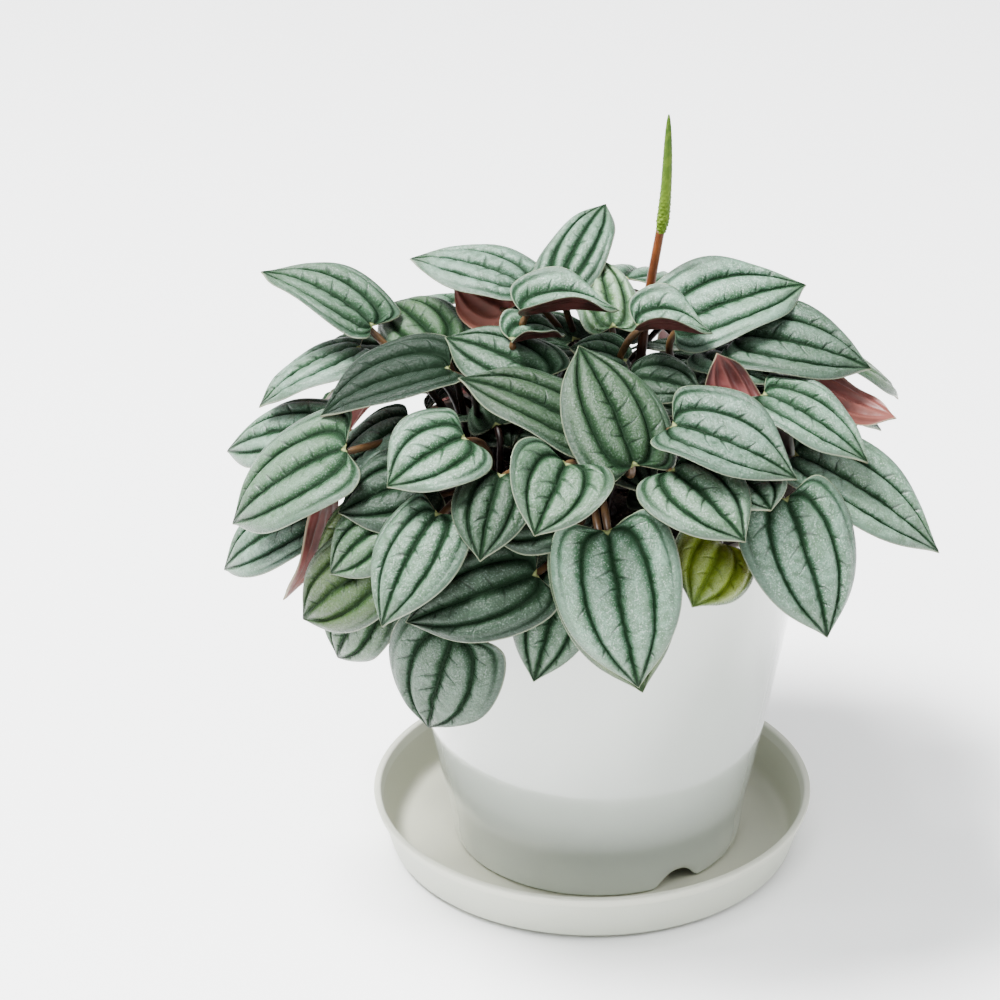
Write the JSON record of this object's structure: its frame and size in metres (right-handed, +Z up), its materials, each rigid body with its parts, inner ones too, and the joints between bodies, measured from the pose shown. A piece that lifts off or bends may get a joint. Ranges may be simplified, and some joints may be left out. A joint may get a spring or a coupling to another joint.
{
  "type": "potted peperomia",
  "caption": "Low domed houseplant with silver heart-shaped leaves and a thin flower spike, in a tapered round pot on a shallow saucer.",
  "frame": {"origin": "middle of the saucer's flat underside", "axes": "+Z up out of the soil, -Y towards the side the picture shows, +X to that side's right"},
  "size_m": [0.2054, 0.1949, 0.234],
  "materials": {
    "saucer": "matte moulded, warm light grey",
    "pot": "glossy moulded, pale grey-white",
    "soil": "crumbly potting soil",
    "leaf": "silver-green with dark veins, wine-red beneath",
    "spike": "fine green beads on a brown stalk"
  },
  "bodies": {
    "root": {"saucer": "saucer", "pot": "pot", "soil": "soil", "crown_left": "leaf", "crown_front_left": "leaf", "crown_front": "leaf", "crown_front_right": "leaf", "crown_right": "leaf", "crown_middle": "leaf", "crown_back": "leaf", "crown_back_left": "leaf", "crown_back_right": "leaf", "flower_spike": "spike"}
  },
  "joints": []
}
